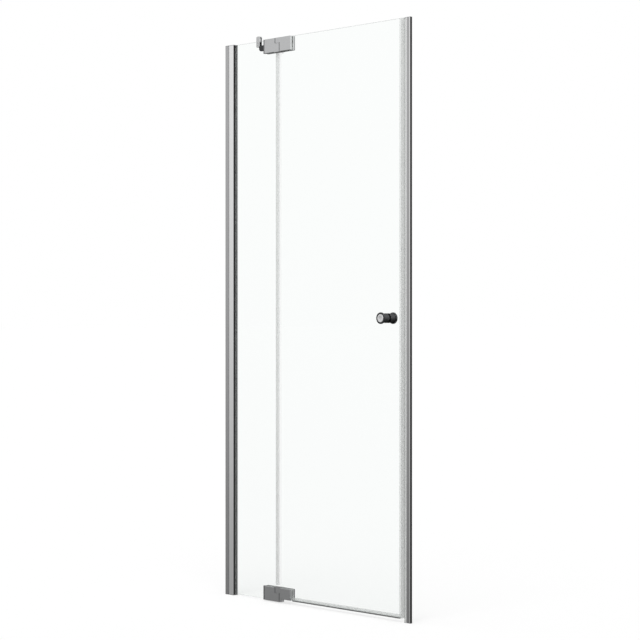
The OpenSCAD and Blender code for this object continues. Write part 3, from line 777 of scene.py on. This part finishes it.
# the clear uprights take painted light, paler upwards
VINYL = Vinyl("clear_seal_upright", Slot.VINYL, 0.28, (0.86, 0.88, 0.87), painted_light_rise=0.15)
GAP_VINYL = Vinyl(
    "clear_gap_seal",
    Slot.VINYL,
    body=0.5,
    colour=(0.855, 0.875, 0.865),
    lip_x=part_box("gap_seal")[1].x - 10.5 * MM,
    rear_y=2.5 * MM,
    # painted light, paler upwards
    painted_light_rise=0.1,
)
VINYL_LEVEL = Vinyl(
    "clear_seal_level",
    Slot.VINYL,
    body=0.24,
    along=(0.004, 1.0, 1.0),
    # painted shade along the bottom of the drip seal
    shade_band=(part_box("drip_seal")[0].z + 0.9 * MM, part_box("door_glass")[0].z + 0.8 * MM),
)
PAD = Vinyl("milky_hinge_pad", Slot.VINYL, 0.97, (0.95, 0.96, 0.955), (0.2, 1.0, 0.2))
GLASS = Glass("clear_pane", Slot.GLASS)
GLASS_EDGE = GlassEdge("polished_pane_edge", Slot.GLASS)
GLASS_SIDE = GlassEdge("clear_pane_side", Slot.GLASS, body=0.07)
STEEL = Steel("stainless_fastener", Slot.STEEL)
TAPE = Moulding(
    "grey_glazing_tape", Slot.RUBBER, colour=(0.5, 0.5, 0.502), roughness=Span(0.6, 0.12)
)
ACETAL = Moulding("white_acetal", Slot.ACETAL)
MAGNET = Moulding(
    "coated_magnet_strip", Slot.FERRITE, colour=(0.97, 0.97, 0.96), roughness=Span(0.5, 0.12)
)


# Modelling


class Bench:
    """Edit-mode steps and finishing modifiers that the sub-assemblies share.

    Faces within FLAT degrees are one flat face, and edges over SHARP degrees are eased.
    """

    FLAT = 0.6
    SHARP = 40.0
    WEIGHT = 60

    @staticmethod
    def clear() -> None:
        """Deselects everything."""
        bpy.ops.object.select_all(action="DESELECT")

    @classmethod
    def take(cls, piece: bpy.types.Object) -> None:
        """Makes this the only selected piece.

        Args:
            piece: the piece.
        """
        cls.clear()
        piece.select_set(True)
        bpy.context.view_layer.objects.active = piece

    @staticmethod
    def named(name: str) -> bpy.types.Object:
        """Names the piece just added, and its mesh.

        Args:
            name: the name.

        Returns:
            The piece.
        """
        piece = bpy.context.object
        piece.name = piece.data.name = name
        return piece

    @classmethod
    def apply(cls, piece: bpy.types.Object, kind: str, settings: dict[str, Any]) -> None:
        """Adds a modifier and applies it.

        Args:
            piece: the piece.
            kind: the modifier's type.
            settings: its settings.
        """
        cls.take(piece)
        modifier = piece.modifiers.new(kind.title(), kind)
        for name, value in settings.items():
            setattr(modifier, name, value)
        bpy.ops.object.modifier_apply(modifier=modifier.name)

    @classmethod
    def edit(cls, piece: bpy.types.Object, steps: Callable[[], None]) -> None:
        """Runs steps in edit mode on the whole piece.

        Args:
            piece: the piece.
            steps: what is done to its selected mesh.
        """
        cls.take(piece)
        bpy.ops.object.mode_set(mode="EDIT")
        bpy.ops.mesh.select_all(action="SELECT")
        steps()
        bpy.ops.object.mode_set(mode="OBJECT")

    @classmethod
    def smooth(cls, piece: bpy.types.Object, angle: float = 32.0) -> None:
        """Shades a piece smooth, with large faces kept flat.

        Args:
            piece: the piece.
            angle: edges up to this angle in degrees are smooth.
        """
        cls.take(piece)
        bpy.ops.object.shade_smooth_by_angle(angle=math.radians(angle))
        cls.apply(piece, "WEIGHTED_NORMAL", {"keep_sharp": True, "weight": cls.WEIGHT})

    @classmethod
    def eased(
        cls, node: str, name: str, width: float, segments: int = 2, clamped: bool = False
    ) -> bpy.types.Object:
        """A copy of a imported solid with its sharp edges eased, as a tumbled or dipped part has.

        Args:
            node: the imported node.
            name: the new piece's name.
            width: width of the eased edges in mm.
            segments: faces across an eased edge.
            clamped: stops an eased edge where it would meet another.

        Returns:
            The new piece.
        """
        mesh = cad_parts[node].data.copy()
        piece = bpy.data.objects.new(name, mesh)
        mesh.name = name
        bpy.context.scene.collection.objects.link(piece)

        def steps() -> None:
            """Merges the loose triangles into flat faces."""
            bpy.ops.mesh.remove_doubles(threshold=TOUCHING)
            bpy.ops.mesh.customdata_custom_splitnormals_clear()
            bpy.ops.mesh.dissolve_limited(angle_limit=math.radians(cls.FLAT))

        cls.edit(piece, steps)
        bevel = {
            "width": width * MM,
            "segments": segments,
            "limit_method": "ANGLE",
            "angle_limit": math.radians(cls.SHARP),
            "use_clamp_overlap": clamped,
            "loop_slide": False,
        }
        cls.apply(piece, "BEVEL", bevel)
        cls.smooth(piece)
        return piece

    @classmethod
    def turned(
        cls, name: str, profile: Sequence[Pair], vertices: int = 112
    ) -> bpy.types.Object:
        """A body turned round z, drawn up ring by ring.

        Args:
            name: the piece's name.
            profile: radius and height of each ring in mm, from the first pole to the last.
            vertices: points of each ring.

        Returns:
            The closed body.
        """
        cls.clear()
        first_radius, first_height = profile[0]
        bpy.ops.mesh.primitive_circle_add(
            vertices=vertices,
            radius=first_radius * MM,
            fill_type="NGON",
            location=(0.0, 0.0, first_height * MM),
        )
        piece = cls.named(name)
        bpy.ops.object.transform_apply()

        def draw() -> None:
            """Extrudes the end face from ring to ring."""
            for (last_radius, last_height), (radius, height) in zip(profile, profile[1:]):
                rise = (0.0, 0.0, (height - last_height) * MM)
                bpy.ops.mesh.extrude_region_move(TRANSFORM_OT_translate={"value": rise})
                size = radius / last_radius
                bpy.ops.transform.resize(
                    value=(size, size, 1.0), center_override=(0.0, 0.0, height * MM)
                )

        def close() -> None:
            """Merges doubles and turns the faces outwards."""
            bpy.ops.mesh.remove_doubles(threshold=TOUCHING)
            bpy.ops.mesh.normals_make_consistent(inside=False)

        cls.edit(piece, draw)
        cls.edit(piece, close)
        return piece

    @classmethod
    def settle(
        cls, piece: bpy.types.Object, place: Sequence[float], tilt: float = 0.0
    ) -> bpy.types.Object:
        """Tilts a piece, moves it and applies both, so that its place is in its mesh.

        Args:
            piece: the piece.
            place: where its origin goes.
            tilt: how far it turns about x, in degrees.

        Returns:
            The same piece.
        """
        piece.rotation_euler = (math.radians(tilt), 0.0, 0.0)
        piece.location = place
        cls.take(piece)
        bpy.ops.object.transform_apply(location=True, rotation=True, scale=True)
        return piece

    @classmethod
    def joined(cls, pieces: Sequence[bpy.types.Object], name: str) -> bpy.types.Object:
        """Joins pieces that make up one node.

        Args:
            pieces: the pieces.
            name: the name of what they become.

        Returns:
            The one piece.
        """
        cls.take(pieces[0])
        for piece in pieces:
            piece.select_set(True)
        bpy.ops.object.join()
        return cls.named(name)


@dataclass
class Dresser:
    """Lays finishes on pieces and tells the frame what each one is."""

    done: list[str] = field(default_factory=list)

    @staticmethod
    def lay(piece: bpy.types.Object, *finishes: Finish) -> None:
        """Gives a piece its finishes in place of what it has.

        Args:
            piece: the piece.
            finishes: its finishes, the first for the whole piece until faces choose another.
        """
        piece.data.materials.clear()
        for finish in finishes:
            piece.data.materials.append(finish.material())

    def nodes(self, finish: Finish, *names: str) -> None:
        """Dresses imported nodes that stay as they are.

        Args:
            finish: their finish.
            names: the nodes.
        """
        for name in names:
            self.lay(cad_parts[name], finish)
            self.done.append(name)
            LOG.info("node %s: %s", name, finish.name)

    def piece(self, piece: bpy.types.Object, body: Body, finish: Finish, *nodes: str) -> None:
        """Dresses a new piece, lets it ride on a body and stand for its nodes.

        Args:
            piece: the new piece.
            body: the body that it rides on.
            finish: its finish.
            nodes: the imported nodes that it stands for.
        """
        if finish.name not in piece.data.materials:
            self.lay(piece, finish)
        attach(piece, body.value)
        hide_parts(*nodes)
        self.done.extend(nodes)
        LOG.info("piece %s on %s: %s", piece.name, body.value, finish.name)


# The door


@dataclass
class WallProfile:
    """The channel on the left wall, the profile that holds the fixed pane, and what closes them.

    The gasket's lip laps over the edge of the front leg by lap, and ends lip_short before the
    wedge's inner side.
    """

    channel_ease: float = 0.45
    profile_ease: float = 0.35
    gasket_ease: float = 0.25
    cap_ease: float = 0.3
    lap: float = 1.05
    lip_t: float = 0.3
    lip_gap: float = 0.01
    lip_short: float = 0.1

    def gasket(self) -> bpy.types.Object:
        """The wedge gasket, with the thin lip that laps over the edge of the front leg.

        Returns:
            The gasket as one piece.
        """
        node = "front_glazing_gasket"
        wedge = Bench.eased(node, "front_wedge_body", self.gasket_ease)
        low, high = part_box(node)
        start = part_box("glass_profile")[1].x - self.lap * MM
        end = high.x - self.lip_short * MM
        y = low.y - self.lip_gap * MM - self.lip_t * MM / 2
        Bench.clear()
        bpy.ops.mesh.primitive_cube_add(size=1.0)
        lip = Bench.named("front_wedge_lip")
        lip.scale = (end - start, self.lip_t * MM, high.z - low.z)
        Bench.settle(lip, ((start + end) / 2, y, (low.z + high.z) / 2))
        return Bench.joined([wedge, lip], "front_wedge_gasket")

    def build(self, dresser: Dresser) -> None:
        """Models and dresses the wall profile.

        Args:
            dresser: lays the finishes.
        """
        for node, name, ease, finish in (
            ("wall_channel", "wall_channel_extrusion", self.channel_ease, WALL),
            ("glass_profile", "glass_profile_extrusion", self.profile_ease, BRIGHT),
            ("top_profile_cap", "top_profile_end", self.cap_ease, WALL),
            ("bottom_profile_cap", "bottom_profile_end", self.cap_ease, WALL),
        ):
            dresser.piece(Bench.eased(node, name, ease), Body.FRAME, finish, node)
        dresser.piece(self.gasket(), Body.FRAME, WEDGE, "front_glazing_gasket")
        dresser.nodes(TAPE, "rear_glazing_tape")
        dresser.nodes(RUBBER, "setting_block")
        dresser.nodes(STEEL, "adjusting_screws")
        dresser.nodes(CHROME, "screw_covers")


@dataclass
class Panes:
    """The narrow fixed pane and the wide door pane.

    face and side are the cosines to y and x from which a face is clear, or part of a side.
    """

    arris: float = 0.6
    face: float = 0.99
    side: float = 0.5

    def build(self, dresser: Dresser) -> None:
        """Models both panes with ground edges and dresses them.

        Args:
            dresser: lays the finishes.
        """
        clear, edge, side = range(3)
        for node, name, body in (
            ("fixed_glass", "fixed_pane", Body.FRAME),
            ("door_glass", "door_pane", Body.DOOR),
        ):
            pane = Bench.eased(node, name, self.arris, segments=1)
            dresser.lay(pane, GLASS, GLASS_EDGE, GLASS_SIDE)
            for face in pane.data.polygons:
                rim = side if abs(face.normal.x) > self.side else edge
                face.material_index = clear if abs(face.normal.y) > self.face else rim
            dresser.piece(pane, body, GLASS, node)


@dataclass
class Hinge:
    """One pivot hinge: a fixed leaf, a door leaf and their clamps, gaskets and screws.

    seam_off counts from the pins' axis, shaded_end from the outer end, shaded_rear from the inner
    end, and rear_y from the pane's middle.
    """

    level: str
    ease: float = 0.3
    upper_knuckle_h: float = 18.6
    seam_off: float = 9.65
    shaded_end: float = 6.2
    shaded_rear: float = 0.4
    rear_y: float = 7.8

    def front_finish(self) -> SeamShadedChrome:
        """The chrome of its leaves, with painted shade in the seam where this hinge has it and at
        the outer end.

        Returns:
            The finish.
        """
        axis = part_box("pivot_pins")
        low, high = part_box(f"{self.level}_fixed_leaf")
        seam_x = (axis[0].x + axis[1].x) / 2 + self.seam_off * MM
        return SeamShadedChrome(
            f"{self.level}_leaf_shaded_chrome",
            Slot.CHROME,
            seam=(seam_x, high.z - self.upper_knuckle_h * MM),
            start_x=low.x + self.shaded_end * MM,
        )

    def rear_finish(self) -> SeamShadedChrome:
        """The chrome of its rear plates, with painted shade at the back of the inner end."""
        rear = (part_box(f"{self.level}_door_clamp")[1].x - self.shaded_rear * MM, self.rear_y * MM)
        return SeamShadedChrome(f"{self.level}_plate_shaded_chrome", Slot.CHROME, rear=rear)

    def build(self, dresser: Dresser) -> None:
        """Models and dresses one hinge.

        Args:
            dresser: lays the finishes.
        """
        front, rear = self.front_finish(), self.rear_finish()
        for side, body in (("fixed", Body.FRAME), ("door", Body.DOOR)):
            leaf = f"{self.level}_{side}_leaf"
            clamp = f"{self.level}_{side}_clamp"
            casting = Bench.eased(leaf, f"{leaf}_casting", self.ease, clamped=True)
            dresser.piece(casting, body, front, leaf)
            dresser.piece(Bench.eased(clamp, f"{clamp}_plate", self.ease), body, rear, clamp)
            dresser.nodes(PAD, f"{self.level}_{side}_gaskets")
            dresser.nodes(STEEL, f"{self.level}_{side}_screws")


@dataclass
class Lift:
    """The cams and pins that lift the door as it opens."""

    def build(self, dresser: Dresser) -> None:
        """Dresses what sits out of sight in the knuckles.

        Args:
            dresser: lays the finishes.
        """
        dresser.nodes(ACETAL, "fixed_cams", "door_cams")
        dresser.nodes(STEEL, "pivot_pins")
        dresser.nodes(RUBBER, "pin_plugs")


@dataclass
class Knob:
    """The round knob on both sides of the door pane, with a disc in each end.

    foot and reach count from the pane's middle. dish_run holds the widths of the dish's outer and
    inner slope, and dish_depths its depths at both slopes and in its middle.
    """

    reach: float = 31.5
    foot: float = 4.0
    foot_bevel: float = 0.5
    neck_r: float = 15.9
    waist_r: float = 15.45
    waist_end: float = 0.6
    waist_rings: int = 12
    rim_r: float = 18.9
    rim_t: float = 6.0
    rim_round: float = 1.6
    rim_rings: int = 6
    rim_neck: float = 0.3
    seat_r: float = 13.45
    seat_depth: float = 1.3
    seat_bevel: float = 0.35
    bore_r: float = 4.05
    bore_depth: float = 12.0
    pole_r: float = 0.05
    disc_r: float = 13.4
    disc_bevel: float = 0.5
    disc_edge: float = 0.45
    disc_drop: float = 0.1
    disc_fall: float = 0.08
    dish_r: float = 6.6
    dish_run: tuple[float, float] = (0.5, 0.4)
    dish_depths: tuple[float, float, float] = (0.4, 0.45, 0.6)
    body_angle: float = 34.0
    disc_angle: float = 20.0

    def profile(self) -> list[Pair]:
        """Rings of one half, from the bore at the glass over the outside to the disc's seat.

        Returns:
            Radius and height of each ring.
        """
        rings = [(self.bore_r, self.foot + self.bore_depth), (self.bore_r, self.foot)]
        rings += [(self.neck_r - self.foot_bevel, self.foot)]
        rings += [(self.neck_r, self.foot + self.foot_bevel)]
        low, high = self.foot, self.reach - self.rim_t
        middle, half = (low + high) / 2, (high - low) / 2 - self.waist_end
        for i in range(1, self.waist_rings):
            t = i / self.waist_rings * 2 - 1
            depth = (self.neck_r - self.waist_r) * (1 - t * t)
            rings.append((self.neck_r - depth, middle + half * t))
        rings.append((self.neck_r, high - self.rim_neck))
        for start, first, bottom in (
            (-90.0, 0, high),
            (0.0, 1, self.reach - 2 * self.rim_round),
        ):
            for i in range(first, self.rim_rings + 1):
                angle = math.radians(start + 90.0 * i / self.rim_rings)
                radius = self.rim_r - self.rim_round * (1 - math.cos(angle))
                rings.append((radius, bottom + self.rim_round * (1 + math.sin(angle))))
        seat = self.reach - self.seat_depth
        rings += [(self.seat_r + self.seat_bevel, self.reach)]
        rings += [(self.seat_r, self.reach - self.seat_bevel)]
        return rings + [(self.seat_r, seat), (self.pole_r, seat)]

    def disc_profile(self) -> list[Pair]:
        """Rings of a disc with a chamfered edge and a shallow turned recess.

        Returns:
            Radius and height of each ring.
        """
        seat, top = self.reach - self.seat_depth, self.reach - self.disc_drop
        outer, inner = self.dish_run
        wall, floor, pole = self.dish_depths
        return [
            (self.pole_r, seat),
            (self.disc_r, seat),
            (self.disc_r, top - self.disc_edge),
            (self.disc_r - self.disc_bevel, top),
            (self.dish_r + outer, top - self.disc_fall),
            (self.dish_r, top - wall),
            (self.dish_r - inner, top - floor),
            (self.pole_r, top - pole),
        ]

    def build(self, dresser: Dresser) -> None:
        """Turns both halves and both discs on the knob's axis.

        Args:
            dresser: lays the finishes.
        """
        low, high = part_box("knob_front")
        x, z = (low.x + high.x) / 2, (low.z + high.z) / 2
        discs = []
        for side, tilt in (("front", 90.0), ("back", -90.0)):
            half = Bench.turned(f"knob_{side}_turned", self.profile())
            Bench.settle(half, (x, 0.0, z), tilt)
            Bench.smooth(half, self.body_angle)
            dresser.piece(half, Body.DOOR, SMOKED, f"knob_{side}")
            disc = Bench.turned(f"knob_{side}_disc", self.disc_profile())
            discs.append(Bench.settle(disc, (x, 0.0, z), tilt))
        both = Bench.joined(discs, "knob_turned_discs")
        Bench.smooth(both, self.disc_angle)
        finish = TurnedDisc("turned_disc", Slot.DISC, (x, z))
        dresser.piece(both, Body.DOOR, finish, "knob_discs")
        dresser.nodes(STEEL, "knob_stud")
        dresser.nodes(RUBBER, "knob_sleeve", "knob_washers")


@dataclass
class Seals:
    """The clear profiles along the panes and the magnets in them."""

    ease: float = 0.2

    def build(self, dresser: Dresser) -> None:
        """Models and dresses the seals.

        Args:
            dresser: lays the finishes.
        """
        for node, name, body, finish in (
            ("gap_seal", "hinge_gap_seal", Body.FRAME, GAP_VINYL),
            ("door_edge_seal", "door_magnet_seal", Body.DOOR, VINYL),
            ("drip_seal", "door_drip_seal", Body.DOOR, VINYL_LEVEL),
            ("strike_seal", "strike_magnet_seal", Body.FRAME, VINYL),
        ):
            dresser.piece(Bench.eased(node, name, self.ease), body, finish, node)
        dresser.nodes(MAGNET, "door_magnet", "strike_magnet")


@dataclass
class StrikeProfile:
    """The slim profile on the right wall, with its end caps."""

    ease: float = 0.4
    cap_ease: float = 0.25

    def build(self, dresser: Dresser) -> None:
        """Models and dresses the strike profile.

        Args:
            dresser: lays the finishes.
        """
        for node, name, ease in (
            ("strike_profile", "strike_extrusion", self.ease),
            ("strike_caps", "strike_ends", self.cap_ease),
        ):
            dresser.piece(Bench.eased(node, name, ease), Body.FRAME, STRIKE, node)


@dataclass
class Stirrup:
    """The holder for a stabiliser bar, beside the upper hinge."""

    ease: float = 0.4

    def build(self, dresser: Dresser) -> None:
        """Models and dresses the holder.

        Args:
            dresser: lays the finishes.
        """
        for node, name, finish in (
            ("stirrup", "stirrup_strap", CHROME),
            # the holder's block is a chrome casting, and the dark chrome on it is painted shade
            ("stirrup_arm", "stirrup_shaded_block", SMOKED),
        ):
            dresser.piece(Bench.eased(node, name, self.ease), Body.FRAME, finish, node)
        dresser.nodes(RUBBER, "stirrup_pad")
        dresser.nodes(STEEL, "stirrup_screws")


# The studio


@dataclass
class Studio:
    """Floor, light and camera.

    heading is the camera's turn about z, and key_width the lamp's, both in degrees. level is the
    strength of the world's light and white the strength at which it is seen. floor_lift is the
    glow of the floor where it is seen. The stops grade the dome upwards and round z.
    """

    eye: Axes = (4.578, -4.344, 0.975)
    heading: float = 46.34
    lens: float = 104.79
    sensor: float = 36.0
    clip_end: float = 500.0
    level: float = 0.72
    white: float = 1.0
    key: float = 1.25
    key_aim: Axes = (-0.35, 0.55, -1.0)
    key_width: float = 38.0
    floor_size: float = 400.0
    floor_drop: float = 0.0008
    floor_colour: Span = Span(0.34, 0.004)
    floor_lift: float = 0.642
    floor_roughness: float = 0.9
    floor_grain: Grain = Grain(3.0, 3.0)
    dome_r: float = 60.0
    dome_light: float = 1.4
    height_stops: tuple[Pair, ...] = (
        (0.0, 0.08), (0.25, 0.14), (0.4235, 0.34), (0.5, 0.66), (0.5765, 0.84), (0.75, 1.0)
    )
    round_stops: tuple[Pair, ...] = (
        (0.0, 0.40), (0.045, 0.48), (0.08, 0.70), (0.55, 0.72), (0.60, 1.0), (0.66, 1.0),
        (0.72, 0.72), (0.80, 0.40), (0.878, 0.22), (0.94, 0.30), (1.0, 0.40),
    )

    def seen(self, graph: Graph) -> Wire:
        """1 for the rays that show the background: sight, gloss and clear bodies.

        Args:
            graph: the node tree.

        Returns:
            The mask.
        """
        path = graph.node("ShaderNodeLightPath")
        sight, gloss, clear = (
            Wire(graph, path.outputs[f"Is {kind} Ray"])
            for kind in ("Camera", "Glossy", "Transmission")
        )
        return sight | gloss | clear

    def world(self) -> None:
        """White where it is seen, and a plain level where it lights."""
        world = bpy.data.worlds.new("plain_studio")
        bpy.context.scene.world = world
        graph = Graph(world)
        strength = self.level + (self.white - self.level) * self.seen(graph)
        light = graph.wire(
            "ShaderNodeBackground", inputs={"Color": (1.0, 1.0, 1.0, 1.0), "Strength": strength}
        )
        graph.node("ShaderNodeOutputWorld", inputs={"Surface": light})

    def floor(self) -> None:
        """A wide pale floor that keeps the shadow."""
        Bench.clear()
        bpy.ops.mesh.primitive_plane_add(
            size=self.floor_size, location=(0.0, 0.0, -self.floor_drop)
        )
        floor = Bench.named("studio_floor")
        material = bpy.data.materials.new("pale_floor")
        graph = Graph(material)
        grey = self.floor_colour.at(graph.noise(self.floor_grain))
        plain = graph.shader(
            {
                "Base Color": graph.scaled((1.0, 1.0, 1.0), grey),
                "Roughness": self.floor_roughness,
                "Specular IOR Level": 0.0,
            }
        )
        glow = graph.wire(
            "ShaderNodeEmission", inputs={"Strength": self.floor_lift * self.seen(graph)}
        )
        graph.surface(graph.wire("ShaderNodeAddShader", inputs={0: plain, 1: glow}))
        floor.data.materials.append(material)
        floor.visible_glossy = False

    def dome(self) -> None:
        """The graded studio that shows in metal only: light above, dark below, two dark flags."""
        Bench.clear()
        bpy.ops.mesh.primitive_uv_sphere_add(
            segments=64, ring_count=48, radius=self.dome_r, location=(0.0, 0.0, self.eye[2])
        )
        dome = Bench.named("studio_dome")
        material = bpy.data.materials.new("graded_studio")
        graph = Graph(material)
        x, y, z = graph.axes()
        height, around = (
            graph.wire("ShaderNodeValToRGB", {"stops": stops}, {"Fac": place})
            for stops, place in (
                (self.height_stops, 0.5 + z / (2 * self.dome_r)),
                (self.round_stops, graph.math("ARCTAN2", y, x) / (2 * math.pi) + 0.5),
            )
        )
        inputs = {"Color": height, "Strength": around * self.dome_light}
        graph.surface(graph.wire("ShaderNodeEmission", inputs=inputs))
        dome.data.materials.append(material)
        for way in ("camera", "diffuse", "transmission", "volume_scatter", "shadow"):
            setattr(dome, f"visible_{way}", False)

    def lamp(self) -> None:
        """One large soft lamp from above the camera's left."""
        Bench.clear()
        bpy.ops.object.light_add(type="SUN", location=(2.0, -4.0, 5.0))
        lamp = bpy.context.object
        lamp.name = "soft_key"
        lamp.data.energy = self.key
        lamp.data.angle = math.radians(self.key_width)
        lamp.rotation_euler = Vector(self.key_aim).to_track_quat("-Z", "Y").to_euler()

    def camera(self) -> None:
        """The photograph's viewpoint, level and with upright lines upright."""
        Bench.clear()
        bpy.ops.object.camera_add(
            location=self.eye, rotation=(math.radians(90.0), 0.0, math.radians(self.heading))
        )
        camera = bpy.context.object
        camera.name = "viewpoint"
        camera.data.sensor_width = self.sensor
        camera.data.lens = self.lens
        camera.data.clip_end = self.clip_end
        bpy.context.scene.camera = camera

    def build(self) -> None:
        """Sets up the studio."""
        self.camera()
        self.world()
        self.floor()
        self.dome()
        self.lamp()
        bpy.context.scene.view_settings.view_transform = "Standard"


def main() -> None:
    """Builds the studio and the door in order."""
    logging.basicConfig(level=logging.INFO, format="%(message)s")
    Studio().build()
    dresser = Dresser()
    for part in (
        WallProfile(),
        Panes(),
        Hinge("upper"),
        Hinge("lower"),
        Lift(),
        Knob(),
        Seals(),
        StrikeProfile(),
        Stirrup(),
    ):
        part.build(dresser)
        LOG.info("built %s", type(part).__name__)
    missing = sorted(set(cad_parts) - set(dresser.done))
    LOG.info("nodes left undressed: %s", missing)


if __name__ == "__main__":
    main()
